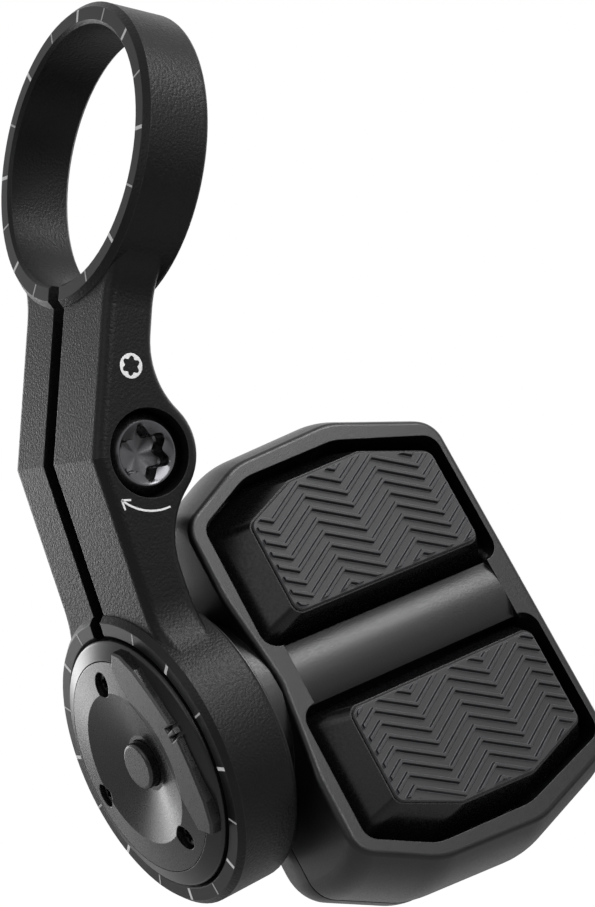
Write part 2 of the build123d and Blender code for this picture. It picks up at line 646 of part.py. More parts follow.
def rear_cover():
    """Back shell: a shallow dome with the battery well, hatch seat and screw seats."""
    layers = [level(SEAM_HEIGHT - SEAM_GROOVE) * shell_outline(SEAM_BULGE)]
    for height, bulge, ends in zip(BACK_HEIGHTS, BACK_BULGES, BACK_ENDS):
        layers.append(level(height) * shell_outline(bulge, ends))
    cover = loft(layers)
    lip = offset(shell_outline(SEAM_BULGE), -SEAM_GROOVE_DEPTH)
    cover += slab(lip, SEAM_HEIGHT - SEAM_GROOVE, SEAM_HEIGHT)
    cover += disc(HATCH_RADIUS + HATCH_BOSS_WALL, HATCH_FACE, BATTERY_BOTTOM, 0, BATTERY_ALONG)
    board_room = offset(shell_outline(SEAM_BULGE), -SHELL_WALL)
    cover -= slab(board_room, BOARD_TOP - BOARD_THICKNESS - BOARD_UNDER_GAP, SEAM_HEIGHT)
    cover -= disc(BATTERY_RADIUS + BATTERY_GAP, HATCH_FACE, BATTERY_TOP, 0, BATTERY_ALONG)
    cover -= disc(HATCH_RADIUS + HATCH_GAP, HATCH_FACE, HATCH_FACE + HATCH_THICKNESS + HATCH_GAP, 0, BATTERY_ALONG)
    cover -= seal_groove()
    cover -= disc(CONTACT_RADIUS + CONTACT_GAP, BATTERY_TOP, SEAM_HEIGHT, 0, BATTERY_ALONG)
    cover -= contact_strip(CONTACT_GAP)
    for v, z in cover_screw_spots():
        cover -= disc(COVER_SCREW_HEAD_RADIUS + SMALL_SCREW_GAP, HATCH_FACE, COVER_SCREW_SEAT, v, z)
        cover -= disc(COVER_SCREW_RADIUS + SMALL_SCREW_GAP, COVER_SCREW_SEAT, SEAM_HEIGHT, v, z)
    cover -= gasket(0)
    neck_room = round_bar(NECK_RADIUS + NECK_CLEARANCE, 0, NECK_END + BOARD_EDGE_GAP)
    return pod_plane * cover - barrel_plane * neck_room


def gasket(gap):
    """Seal along the seam between the two shells."""
    outer = offset(shell_outline(SEAM_BULGE), -GASKET_INSET - gap)
    inner = offset(shell_outline(SEAM_BULGE), -GASKET_INSET - GASKET_WIDTH + gap)
    ring = outer - inner
    return slab(ring, SEAM_HEIGHT - GASKET_THICKNESS + gap, SEAM_HEIGHT)


def cover_gasket():
    neck_room = round_bar(NECK_RADIUS + NECK_CLEARANCE, 0, NECK_END + BOARD_EDGE_GAP)
    return pod_plane * gasket(CONTACT_GAP / 4) - barrel_plane * neck_room


def cover_screw(v, z):
    seat = COVER_SCREW_SEAT
    head = disc(COVER_SCREW_HEAD_RADIUS, seat - COVER_SCREW_HEAD_HEIGHT, seat, v, z)
    head = chamfer(head.edges().group_by(Axis.X)[0], COVER_SCREW_HEAD_HEIGHT * 0.2)
    screw = head + disc(COVER_SCREW_RADIUS, seat, COVER_SCREW_TIP, v, z)
    recess = Location((v, z)) * lobed(COVER_SCREW_HEAD_RADIUS * 0.6)
    screw -= slab(recess, seat - COVER_SCREW_HEAD_HEIGHT, seat - COVER_SCREW_HEAD_HEIGHT * 0.3)
    return pod_plane * screw


def coin_battery():
    cell = disc(BATTERY_RADIUS, BATTERY_BOTTOM, BATTERY_TOP, 0, BATTERY_ALONG)
    return pod_plane * fillet(cell.edges(), BATTERY_EDGE_ROUNDING)


def negative_contact():
    board_under = BOARD_TOP - BOARD_THICKNESS
    return pod_plane * disc(CONTACT_RADIUS, BATTERY_TOP, board_under, 0, BATTERY_ALONG)


def contact_strip(gap):
    """Leaf beside the battery that touches its can and rises to the board."""
    inner = BATTERY_RADIUS + CONTACT_GAP - gap
    outer = BATTERY_RADIUS + CONTACT_GAP + CONTACT_STRIP_THICKNESS + gap
    width = CONTACT_STRIP_WIDTH + 2 * gap
    leaf = Pos((inner + outer) / 2, BATTERY_ALONG) * Rectangle(outer - inner, width)
    top = SEAM_HEIGHT if gap else BOARD_TOP - BOARD_THICKNESS
    return slab(leaf, BATTERY_BOTTOM, top)


def positive_contact():
    return pod_plane * contact_strip(0)


def battery_hatch():
    """Round hatch with a coin slot, which turns in its seat."""
    plug_top = HATCH_FACE + HATCH_THICKNESS + HATCH_PLUG_THICKNESS
    plate = disc(HATCH_RADIUS, HATCH_FACE, HATCH_FACE + HATCH_THICKNESS, 0, BATTERY_ALONG)
    plate = fillet(plate.edges().group_by(Axis.X)[0], HATCH_EDGE_ROUNDING)
    plug = disc(BATTERY_RADIUS + BATTERY_GAP - HATCH_GAP, HATCH_FACE, plug_top, 0, BATTERY_ALONG)
    slot = Pos(0, BATTERY_ALONG) * SlotOverall(COIN_SLOT_LENGTH, COIN_SLOT_WIDTH)
    return pod_plane * (plate + plug - slab(slot, HATCH_FACE, HATCH_FACE + COIN_SLOT_DEPTH))


def seal_ring_radius():
    return BATTERY_RADIUS + BATTERY_GAP + 1.6 * SEAL_RADIUS


def seal_floor():
    return HATCH_FACE + HATCH_THICKNESS + HATCH_GAP


def seal_groove():
    middle = seal_ring_radius()
    half = SEAL_RADIUS + HATCH_GAP
    ring = Pos(0, BATTERY_ALONG) * (Circle(middle + half) - Circle(middle - half))
    return slab(ring, seal_floor(), seal_floor() + 2 * SEAL_RADIUS)


def hatch_seal():
    seal = Torus(seal_ring_radius(), SEAL_RADIUS)
    place = Plane(origin=(seal_floor() + SEAL_RADIUS, 0, BATTERY_ALONG), x_dir=(0, 1, 0), z_dir=(1, 0, 0))
    return pod_plane * (place * seal)


def hinge_pin(side):
    return pod_plane * hinge_bar(side, HINGE_PIN_RADIUS)


nodes = {
    "clamp": clamp(),
    "clamp_bolt": clamp_bolt(),
    "pod_housing": pod_housing(),
    "dial_cap": dial_cap(),
    "function_button": function_button(),
    "button_seal": button_seal(),
    "button_board": button_board(),
    "button_switch": button_switch(),
    "main_board": main_board(),
    "rear_cover": rear_cover(),
    "cover_gasket": cover_gasket(),
    "coin_battery": coin_battery(),
    "negative_contact": negative_contact(),
    "positive_contact": positive_contact(),
    "battery_hatch": battery_hatch(),
    "hatch_seal": hatch_seal(),
}
for count, place in enumerate(screw_places(), 1):
    nodes[f"dial_screw_{count}"] = dial_screw(place)
for count, (v, z) in enumerate(cover_screw_spots(), 1):
    nodes[f"cover_screw_{count}"] = cover_screw(v, z)
for name, side in (("upper", -1), ("lower", 1)):
    nodes[f"{name}_paddle"] = paddle(side)
    nodes[f"{name}_grip_pad"] = grip_pad(side)
    nodes[f"{name}_hinge_pin"] = hinge_pin(side)
    nodes[f"{name}_membrane"] = membrane(side)
    nodes[f"{name}_switch"] = paddle_switch(side)

os.makedirs("parts", exist_ok=True)
for name, solid in nodes.items():
    export_step(solid, f"parts/{name}.step")
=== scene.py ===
import bmesh
import bpy
from math import acos, cos, pi, radians, sin, tan
from mathutils import Matrix, Vector


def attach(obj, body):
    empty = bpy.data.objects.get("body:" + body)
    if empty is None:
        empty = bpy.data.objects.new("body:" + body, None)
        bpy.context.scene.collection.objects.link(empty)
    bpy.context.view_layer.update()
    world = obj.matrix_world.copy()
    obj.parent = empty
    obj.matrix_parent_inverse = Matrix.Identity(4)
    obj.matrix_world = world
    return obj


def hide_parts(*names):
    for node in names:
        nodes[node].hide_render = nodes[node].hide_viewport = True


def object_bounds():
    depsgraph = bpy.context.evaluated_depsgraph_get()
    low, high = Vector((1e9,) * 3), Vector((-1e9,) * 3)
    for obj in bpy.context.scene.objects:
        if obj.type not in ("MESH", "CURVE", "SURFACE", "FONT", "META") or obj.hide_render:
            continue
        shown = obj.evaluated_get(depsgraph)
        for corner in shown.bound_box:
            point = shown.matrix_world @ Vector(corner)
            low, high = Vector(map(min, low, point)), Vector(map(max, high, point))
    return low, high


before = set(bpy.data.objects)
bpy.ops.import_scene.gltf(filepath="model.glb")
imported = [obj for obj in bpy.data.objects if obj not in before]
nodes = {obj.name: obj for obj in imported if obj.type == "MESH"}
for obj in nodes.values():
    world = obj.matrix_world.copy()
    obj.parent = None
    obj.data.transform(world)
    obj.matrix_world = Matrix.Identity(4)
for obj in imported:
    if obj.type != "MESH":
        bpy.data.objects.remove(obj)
cad_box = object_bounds()


# Clamp: one forging of aluminium with two rings and the arms that join them, blasted with grit to a leathery
# grain and anodised black. The marked faces of its rings are turned smooth before that, so they look flatter
# and paler.
MM = 0.001
RING_FACE = 3.0 * MM
NEARLY = 0.05 * MM
BEND = radians(25)
LOWER_RING = Vector((0, 10.876, -49.0587)) * MM
LOWER_AXIS = Vector((0, cos(BEND), sin(BEND)))
CLOUD_WIDTH = 6.0 * MM
EDGE_RADIUS = 0.09 * MM
GLOSS_SPREAD = 0.05
HIGHLIGHT_BEGINS = 0.97
HIGHLIGHT_FULL = 0.85


def linear(colour):
    """An sRGB hex colour as linear red, green, blue and alpha."""
    channels = [int(colour[i:i + 2], 16) / 255 for i in (1, 3, 5)]
    return (*[c / 12.92 if c <= 0.04045 else ((c + 0.055) / 1.055) ** 2.4 for c in channels], 1)


def add(tree, kind, inputs=None, **settings):
    """Adds a node. An input is a number, a colour, or the output of another node."""
    made = tree.nodes.new(kind)
    for name, value in settings.items():
        setattr(made, name, value)
    for name, value in (inputs or {}).items():
        if isinstance(value, bpy.types.NodeSocket):
            tree.links.new(value, made.inputs[name])
        else:
            made.inputs[name].default_value = value
    return made


def empty_tree(name):
    """A new material and its node tree, with nothing in it yet."""
    made = bpy.data.materials.new(name)
    made.use_nodes = True
    made.node_tree.nodes.clear()
    return made, made.node_tree


def in_front_of(tree, place, centre, axis, distance):
    """1 where a point lies further out along the axis than the distance, and 0 elsewhere."""
    away = add(tree, "ShaderNodeVectorMath", {0: place, 1: centre}, operation="SUBTRACT").outputs[0]
    along = add(tree, "ShaderNodeVectorMath", {0: away, 1: axis}, operation="DOT_PRODUCT").outputs["Value"]
    return add(tree, "ShaderNodeMath", {0: along, 1: distance}, operation="GREATER_THAN").outputs[0]


def skin(name, colour, pale, edge, roughness, grain, depth, turned=(), **finish):
    """A surface with grain of a width and depth in millimetres, painted paler along its edges in the edge
    colour, as a highlight.

    turned lists the places that a tool has cut smooth, each a centre, an axis, a distance along it and the
    roughness that the tool has left.
    """
    made, tree = empty_tree(name)
    place = add(tree, "ShaderNodeTexCoord").outputs["Object"]
    bumps = add(tree, "ShaderNodeTexNoise", {
        "Vector": place, "Scale": 1 / (grain * MM), "Detail": 1.5, "Roughness": 0.45}).outputs["Fac"]
    cloud = add(tree, "ShaderNodeTexNoise", {
        "Vector": place, "Scale": 1 / CLOUD_WIDTH, "Detail": 3.0}).outputs["Fac"]
    base = add(tree, "ShaderNodeMix", {
        "Factor": cloud, "A": linear(colour), "B": linear(pale)}, data_type="RGBA").outputs["Result"]
    gloss = add(tree, "ShaderNodeMapRange", {
        "Value": bumps, "From Min": 0.3, "From Max": 0.7,
        "To Min": roughness - GLOSS_SPREAD, "To Max": roughness + GLOSS_SPREAD}).outputs["Result"]
    height = bumps
    for centre, axis, distance, smooth in turned:
        cut = in_front_of(tree, place, centre, axis, distance)
        height = add(tree, "ShaderNodeMix", {
            "Factor": cut, "A": height, "B": 0.5}, data_type="FLOAT").outputs[0]
        gloss = add(tree, "ShaderNodeMix", {
            "Factor": cut, "A": gloss, "B": smooth}, data_type="FLOAT").outputs[0]
    round_edge = add(tree, "ShaderNodeBevel", {"Radius": EDGE_RADIUS}, samples=6).outputs["Normal"]
    relief = add(tree, "ShaderNodeBump", {
        "Height": height, "Distance": depth * MM, "Strength": 1.0, "Normal": round_edge}).outputs["Normal"]
    flat = add(tree, "ShaderNodeNewGeometry").outputs["Normal"]
    meet = add(tree, "ShaderNodeVectorMath", {
        0: round_edge, 1: flat}, operation="DOT_PRODUCT").outputs["Value"]
    # Painted highlight: at every edge, where the bevelled normal leans away from the face, the colour turns to
    # the paler edge colour, whichever way the lamps fall.
    highlight_share = add(tree, "ShaderNodeMapRange", {
        "Value": meet, "From Min": HIGHLIGHT_BEGINS, "From Max": HIGHLIGHT_FULL}).outputs["Result"]
    painted_edge_highlight = add(tree, "ShaderNodeMix", {
        "Factor": highlight_share, "A": base, "B": linear(edge)}, data_type="RGBA").outputs["Result"]
    shine = add(tree, "ShaderNodeBsdfPrincipled", {
        "Base Color": painted_edge_highlight, "Roughness": gloss, "Normal": relief, **finish}).outputs["BSDF"]
    add(tree, "ShaderNodeOutputMaterial", {"Surface": shine})
    return made


def dress(material, *names):
    """Gives solids of the frame their finish."""
    for name in names:
        nodes[name].data.materials.clear()
        nodes[name].data.materials.append(material)


# Grit of about 0.22 mm leaves dimples as wide, so the near black anodising breaks the lamps into soft
# specks, while the turned faces mirror the studio evenly.
anodised = skin("blasted_anodised_aluminium", "#080809", "#0d0d0e", "#3a3a3c", 0.4, 0.22, 0.042, turned=(
    ((0, 0, 0), (0, -1, 0), RING_FACE - NEARLY, 0.32),
    (tuple(LOWER_RING), tuple(-LOWER_AXIS), RING_FACE - NEARLY, 0.32),
), **{"Specular IOR Level": 0.15})
dress(anodised, "clamp")


# Graduations: sixteenths of a turn burnt pale into both marked faces by a laser, every second one broad. The
# one that would fall on the slit is left out.
GRADUATION_START = 11.42 * MM
GRADUATION_END = 12.46 * MM
BROAD_MARK = 0.32 * MM
FINE_MARK = 0.17 * MM
LASER_RISE = 0.012 * MM
LOWER_DOWN = Vector((0, sin(BEND), -cos(BEND)))


def join_rings(shape, rings, capped=True):
    """Spans rings of points, all of one length, with faces, and closes both ends."""
    for one, two in zip(rings, rings[1:]):
        for i in range(len(one)):
            shape.faces.new((one[i - 1], one[i], two[i], two[i - 1]))
    if capped:
        shape.faces.new(rings[0])
        shape.faces.new(rings[-1])


def place_piece(name, shape, material):
    """Puts a finished mesh in the scene, in one material."""
    bmesh.ops.recalc_face_normals(shape, faces=shape.faces)
    mesh = bpy.data.meshes.new(name)
    shape.to_mesh(mesh)
    shape.free()
    mesh.materials.append(material)
    made = bpy.data.objects.new(name, mesh)
    bpy.context.scene.collection.objects.link(made)
    return made


def laser_mark(name, outlines, place, pale):
    """Flat shapes that a laser has burnt pale, laid on a face of the clamp by a matrix."""
    shape = bmesh.new()
    for outline in outlines:
        low, high = [[shape.verts.new(place @ Vector((x, y, rise))) for x, y in outline]
                     for rise in (0, LASER_RISE)]
        shape.faces.new(high)
        join_rings(shape, (low, high), capped=False)
    mark = place_piece(name, shape, pale)
    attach(mark, "clamp")


def graduation(turn, width):
    """A short bar that points away from the ring's middle."""
    angle = 2 * pi * turn / 16
    out = Vector((cos(angle), sin(angle)))
    side = Vector((-out.y, out.x)) * width / 2
    return [out * GRADUATION_START - side, out * GRADUATION_END - side, out * GRADUATION_END + side,
            out * GRADUATION_START + side]


def face_matrix(centre, right, up):
    """Puts x and y along right and up, with z out of the face."""
    out = right.cross(up)
    return Matrix.Translation(centre) @ Matrix((right, up, out)).transposed().to_4x4()


# Burnt anodising is chalky and light grey, and the fine marks look darker because the laser has crossed them
# once. Its lines are about 0.03 mm apart, too fine to show, and are drawn at 0.12 mm.
burnt = skin("laser_burnt_anodising", "#c8c8c8", "#d8d8d8", "#dcdcdc", 0.6, 0.12, 0.004)
faint = skin("laser_burnt_anodising_fine", "#a4a4a4", "#b8b8b8", "#bcbcbc", 0.6, 0.12, 0.004)
upper_face = face_matrix(Vector((0, -RING_FACE, 0)), Vector((0, 0, -1)), Vector((1, 0, 0)))
lower_face = face_matrix(LOWER_RING - LOWER_AXIS * RING_FACE, -LOWER_DOWN, Vector((-1, 0, 0)))
for ring, face in (("upper", upper_face), ("lower", lower_face)):
    broad = [graduation(turn, BROAD_MARK) for turn in range(2, 16, 2)]
    fine = [graduation(turn, FINE_MARK) for turn in range(1, 16, 2)]
    laser_mark(f"{ring}_ring_broad_graduations", broad, face, burnt)
    laser_mark(f"{ring}_ring_fine_graduations", fine, face, faint)


# Driver symbol and tightening arrow beside the bolt, burnt by the same laser: a disc round a six-pointed
# star, and a curved arrow under the bolt's head that says which way tightens.
SIDE_FACE = 7.4 * MM
SYMBOL_PLACE = Vector((SIDE_FACE, 0.2 * MM, -18.35 * MM))
SYMBOL_RADIUS = 1.04 * MM
STAR_TIPS = 0.84 * MM
STAR_WAISTS = 0.58 * MM
STAR_FULLNESS = 0.8
SYMBOL_STEPS = 72
BOLT_PLACE = Vector((SIDE_FACE, 2.4477 * MM, -25.1923 * MM))
ARROW_RADIUS = 4.75 * MM
ARROW_WIDTH = 0.17 * MM
ARROW_START = radians(-62)
ARROW_END = radians(-118)
ARROW_STEPS = 14
BARB_LENGTH = 0.85 * MM
BARB_OVERLAP = 0.1 * MM
BARB_LEAN = radians(145)


def band(inner, outer, start, end, steps):
    """Quads between two radii, each a function of the angle, from one angle to another."""
    quads = []
    for step in range(steps):
        one, two = [start + (end - start) * count / steps for count in (step, step + 1)]
        quads.append([inner(one), outer(one), outer(two), inner(two)])
    return quads


def star_edge(angle):
    """The star's outline, its first tip straight up."""
    swell = (0.5 + 0.5 * cos(6 * angle)) ** STAR_FULLNESS
    star = STAR_WAISTS + (STAR_TIPS - STAR_WAISTS) * swell
    return (star * sin(angle), star * cos(angle))


def symbol_edge(angle):
    return (SYMBOL_RADIUS * sin(angle), SYMBOL_RADIUS * cos(angle))


def arrow_edge(radius):
    """One side of the arrow's shaft as a function of the angle."""
    return lambda angle: (radius * cos(angle), radius * sin(angle))


side_right = Vector((0, 1, 0))
side_up = Vector((0, 0, 1))
disc = band(star_edge, symbol_edge, 0, 2 * pi, SYMBOL_STEPS)
laser_mark("driver_symbol", disc, face_matrix(SYMBOL_PLACE, side_right, side_up), burnt)

arrow = band(arrow_edge(ARROW_RADIUS - ARROW_WIDTH / 2), arrow_edge(ARROW_RADIUS + ARROW_WIDTH / 2),
             ARROW_START, ARROW_END, ARROW_STEPS)
tip = Vector((ARROW_RADIUS * cos(ARROW_END), ARROW_RADIUS * sin(ARROW_END)))
ahead = Vector((sin(ARROW_END), -cos(ARROW_END)))
for lean in (BARB_LEAN, -BARB_LEAN):
    barb = Matrix.Rotation(lean, 2) @ ahead
    across = Vector((-barb.y, barb.x)) * ARROW_WIDTH / 2
    root = tip + ahead * BARB_OVERLAP
    end = root + barb * BARB_LENGTH
    arrow.append([root - across, end - across, end + across, root + across])
laser_mark("tightening_arrow", arrow, face_matrix(BOLT_PLACE, side_right, side_up), burnt)


# Clamp bolt: alloy steel, its head forged with a broad bevel and a flared six-lobe socket, then blackened in
# a hot oxide bath and oiled. Rows of its section are radius and height over the seat, in millimetres.
BOLT_SEAT = Vector((4.4, 2.4477, -25.1923)) * MM
BOLT_SHANK = ((0.0, -11.0), (1.6, -11.0), (2.0, -10.6), (2.0, 0.0))
BOLT_HEAD = ((3.45, 0.0), (3.45, 1.66), (3.38, 1.76), (2.76, 2.44), (2.68, 2.5), (2.58, 2.5), (2.46, 2.42))
BOLT_SOCKET = ((1.0, 2.3), (0.96, 2.1), (0.94, 1.0), (0.86, 0.84), (0.3, 0.7), (0.0, 0.66))
BOLT_CREASE = radians(32)
BOLT_SIDES = 120
LOBE_MIDDLE = 1.98
LOBE_REACH = 0.36
LOBE_TURN = radians(12)
OIL_WIDTH = 1.2 * MM
OIL_SPREAD = 0.06


def oiled_steel(name, colour, pale, roughness):
    """Blackened steel, cloudy with oil."""
    made, tree = empty_tree(name)
    place = add(tree, "ShaderNodeTexCoord").outputs["Object"]
    oil = add(tree, "ShaderNodeTexNoise", {
        "Vector": place, "Scale": 1 / OIL_WIDTH, "Detail": 3.0}).outputs["Fac"]
    tint = add(tree, "ShaderNodeMix", {
        "Factor": oil, "A": linear(colour), "B": linear(pale)}, data_type="RGBA").outputs["Result"]
    dull = add(tree, "ShaderNodeMapRange", {
        "Value": oil, "To Min": roughness - OIL_SPREAD, "To Max": roughness + OIL_SPREAD}).outputs["Result"]
    steel = add(tree, "ShaderNodeBsdfPrincipled", {
        "Base Color": tint, "Metallic": 1.0, "Roughness": dull}).outputs["BSDF"]
    add(tree, "ShaderNodeOutputMaterial", {"Surface": steel})
    return made


def bolt_ring(shape, radius, height):
    """A ring of points round the bolt, its radius a function of the angle."""
    ring = []
    for step in range(BOLT_SIDES):
        angle = 2 * pi * step / BOLT_SIDES
        out = radius(angle)
        ring.append(shape.verts.new(BOLT_SEAT + Vector((height, out * cos(angle), out * sin(angle))) * MM))
    return ring


def even(radius):
    return lambda angle: radius


def lobed(share):
    """The socket's six lobes, at a share of their full size."""
    return lambda angle: share * (LOBE_MIDDLE + LOBE_REACH * cos(6 * (angle + LOBE_TURN)))


# The oxide is a dark mirror: the socket's scalloped walls show the lamps one by one, and the bevel stays
# black. The oil clouds it in patches about 1.2 mm wide.
oxide = oiled_steel("black_oxide_steel", "#4a4a4c", "#565658", 0.26)
shape = bmesh.new()
join_rings(shape, [bolt_ring(shape, even(radius), height) for radius, height in BOLT_SHANK + BOLT_HEAD]
           + [bolt_ring(shape, lobed(share), height) for share, height in BOLT_SOCKET], capped=False)
bmesh.ops.remove_doubles(shape, verts=shape.verts[:], dist=1e-7)
bolt = place_piece("socket_bolt", shape, oxide)
bolt.data.polygons.foreach_set("use_smooth", [True] * len(bolt.data.polygons))
bolt.data.set_sharp_from_angle(angle=BOLT_CREASE)
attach(bolt, "clamp")
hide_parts("clamp_bolt")
dress(oxide, "clamp_bolt")


# Pod shells: glass-filled nylon, moulded in a tool that was spark-eroded to a fine matt grain. The barrel's
# end is faced smooth, so the dial side is a little glossier than the shell.

# The grain softens every highlight into a broad sheen. It is about 0.06 mm wide, too fine to show, and is
# drawn at 0.16 mm.
nylon = skin("spark_eroded_nylon", "#070708", "#0b0b0c", "#262627", 0.35, 0.16, 0.007, turned=(
    (tuple(LOWER_RING), tuple(-LOWER_AXIS), RING_FACE - NEARLY, 0.27),
), **{"Specular IOR Level": 0.3})
dress(nylon, "pod_housing", "rear_cover", "battery_hatch")


# Dial cap and function button: turned from aluminium bar, blasted with fine beads and anodised black. Three
# screws of the same blackened steel as the bolt hold the cap, and four hold the rear cover.

# Beads of about 0.12 mm leave a finer grain than the clamp's, so the dish shades smoothly from light to
# dark.
turned_cap = skin("fine_blasted_aluminium", "#0a0a0b", "#101011", "#4a4a4c", 0.28, 0.12, 0.004,
                  **{"Specular IOR Level": 0.4})
dress(turned_cap, "dial_cap", "function_button")
dress(oxide, *[f"dial_screw_{n}" for n in (1, 2, 3)], *[f"cover_screw_{n}" for n in (1, 2, 3, 4)])


# Paddles: each is one nylon moulding that rocks on its own steel pin. The tool is polished, and the pin is
# ground to size.

# The polish leaves only the slow ripple of the moulding, about 0.25 mm wide, so it looks smooth and satin
# black.
satin = skin("satin_nylon", "#060607", "#09090a", "#1c1c1d", 0.26, 0.25, 0.002, **{"Specular IOR Level": 0.25})
dress(satin, "upper_paddle", "lower_paddle")
# Grinding leaves bright steel. Its scratches are about 0.01 mm wide, too fine to show, and drawn at 0.1 mm.
ground = skin("ground_steel", "#9a9a9c", "#a6a6a8", "#c0c0c2", 0.28, 0.1, 0.001, Metallic=1.0)
dress(ground, "upper_hinge_pin", "lower_hinge_pin")


# Pointer: the dial's flat facet that runs out to a blunt tip at the index, with two fine grooves cut across
# it. It is milled with the barrel, so it has the barrel's nylon, and it stands proud of the turned slope
# round it. Its sizes are in millimetres.
POINTER_TURN = radians(-112.5)
POD_CANT = radians(-1.9)
LOWER_SIDE = LOWER_AXIS.cross(LOWER_DOWN)
POD_UP = LOWER_DOWN * cos(POINTER_TURN) + LOWER_SIDE * sin(POINTER_TURN)
UNCANTED = LOWER_AXIS.cross(POD_UP)
FACET_EDGE = ((5.2, 7.5), (6.7, 8.5), (7.6, 7.8), (8.45, 6.1), (9.2, 3.2), (9.62, 0.75))
FACET_TIP = 9.68
FACET_TOP = -4.45
FACET_FOOT = -3.2
FACET_BEVEL = 0.16
DISH_RIM = 6.8
DISH_STEPS = 24
GROOVE_START = 8.65
GROOVE_MIDDLES = (-0.4, 0.4)
GROOVE_HALF = 0.14


def on_dial(x, y, z):
    """A point of the dial in millimetres: x towards the index, z into the barrel."""
    return LOWER_RING + (POD_UP * x + UNCANTED * y + LOWER_AXIS * z) * MM


def facet_outline():
    """Round the facet from the dish's rim out to the tip, with the two grooves as notches."""
    outer = [(x, -y) for x, y in FACET_EDGE]
    for middle in GROOVE_MIDDLES:
        near, far = middle - GROOVE_HALF, middle + GROOVE_HALF
        outer += [(FACET_TIP, near), (GROOVE_START, near), (GROOVE_START, far), (FACET_TIP, far)]
    outer += [(x, y) for x, y in reversed(FACET_EDGE)]
    reach = acos(FACET_EDGE[0][0] / DISH_RIM)
    turns = [reach - 2 * reach * n / DISH_STEPS for n in range(DISH_STEPS + 1)]
    return outer + [(DISH_RIM * cos(turn), DISH_RIM * sin(turn)) for turn in turns]


# Milling shaves the grain off the nylon, so the facet is glossier than the shell. The cutter's marks are
# about 0.05 mm apart, too fine to show, and are drawn at 0.14 mm.
facet_nylon = skin("milled_satin_nylon", "#0c0c0d", "#121213", "#3a3a3b", 0.3, 0.14, 0.003,
                   **{"Specular IOR Level": 0.4})
outline = facet_outline()
bevelled = []
for i, point in enumerate(outline):
    along = (Vector(outline[(i + 1) % len(outline)]) - Vector(outline[i - 1])).normalized()
    bevelled.append(Vector(point) + Vector((-along.y, along.x)) * FACET_BEVEL)
shape = bmesh.new()
join_rings(shape, [[shape.verts.new(on_dial(x, y, z)) for x, y in line] for line, z in (
    (outline, FACET_FOOT), (outline, FACET_TOP + FACET_BEVEL), (bevelled, FACET_TOP))])
facet = place_piece("pointer_facet", shape, facet_nylon)
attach(facet, "pod")


# Grip pads: thermoplastic rubber moulded over each paddle as a thin plate with zigzag ribs for the thumb.
# They stand on the same foot as the plain pads of the solids. Corners are across and along the pod, and
# heights are over the barrel's axis, in millimetres.
POD_ACROSS = UNCANTED * cos(POD_CANT) + LOWER_AXIS * sin(POD_CANT)
POD_ALONG = LOWER_AXIS * cos(POD_CANT) - UNCANTED * sin(POD_CANT)
PAD_CORNERS = ((4.55, 10.05), (13.12, 10.05), (15.45, 15.55), (15.75, 23.35), (13.5, 30.15), (4.55, 30.15))
PAD_CORNER_RADIUS = 0.9
PAD_CORNER_STEPS = 5
PAD_FOOT = 11.3
PAD_PLATE = 11.56
PAD_EDGE = 0.12
RIB_PROFILE = ((0.26, PAD_PLATE - 0.05), (0.2, 11.8), (0.13, 11.9))
RIB_FIRST = 0.6
RIB_PITCH = 1.2
RIB_COUNT = 18
RIB_SWING = 2.3
RIB_HALF_PERIOD = 4.0
RIB_TURNS = 11
RIB_MARGIN = 0.3


def on_pod(height, across, along):
    """A point of the pod, given in millimetres, in the shared frame."""
    return LOWER_RING + (POD_UP * height + POD_ACROSS * across + POD_ALONG * along) * MM


def round_corners(corners):
    """An outline whose corners are arcs."""
    outline = []
    for i, corner in enumerate(corners):
        corner = Vector(corner)
        to_last = (Vector(corners[i - 1]) - corner).normalized()
        to_next = (Vector(corners[(i + 1) % len(corners)]) - corner).normalized()
        half_angle = to_last.angle(to_next) / 2
        middle = corner + (to_last + to_next).normalized() * PAD_CORNER_RADIUS / sin(half_angle)
        reach = PAD_CORNER_RADIUS / tan(half_angle)
        first = corner + to_last * reach - middle
        last = corner + to_next * reach - middle
        turn = first.angle_signed(last)
        for step in range(PAD_CORNER_STEPS + 1):
            outline.append(middle + Matrix.Rotation(-turn * step / PAD_CORNER_STEPS, 2) @ first)
    return outline


def inward_of(edge, point, centre):
    """The direction square to an edge that looks from the point towards the centre."""
    inward = Vector((-edge.y, edge.x)).normalized()
    return -inward if inward.dot(centre - point) < 0 else inward


def middle_of(outline):
    return sum(outline, Vector((0, 0))) / len(outline)


def inset(outline, distance):
    """A convex outline drawn in by a distance."""
    centre = middle_of(outline)
    drawn = []
    for i, point in enumerate(outline):
        edge = outline[(i + 1) % len(outline)] - outline[i - 1]
        drawn.append(point + inward_of(edge, point, centre) * distance)
    return drawn


def add_ribs(shape, side):
    """Zigzag ribs that run along the pod, longer and wider than the pad."""
    for count in range(RIB_COUNT):
        rows = []
        for turn in range(RIB_TURNS):
            middle = RIB_FIRST + count * RIB_PITCH + (RIB_SWING / 2 if turn % 2 else -RIB_SWING / 2)
            row = [(middle - half, height) for half, height in RIB_PROFILE]
            row += [(middle + half, height) for half, height in reversed(RIB_PROFILE)]
            along = (turn - 1) * RIB_HALF_PERIOD
            rows.append([shape.verts.new((side * across, along, height)) for across, height in row])
        join_rings(shape, rows)


def trim_ribs(shape, border):
    """Cuts the ribs off along a border and closes their cut ends."""
    centre = middle_of(border)
    for i, point in enumerate(border):
        outward = -inward_of(point - border[i - 1], point, centre)
        cut = bmesh.ops.bisect_plane(shape, geom=shape.verts[:] + shape.edges[:] + shape.faces[:], dist=1e-6,
                                     plane_co=(*point, 0), plane_no=(*outward, 0), clear_outer=True)
        rim = [piece for piece in cut["geom_cut"] if isinstance(piece, bmesh.types.BMEdge)]
        bmesh.ops.holes_fill(shape, edges=rim, sides=2 * len(RIB_PROFILE))
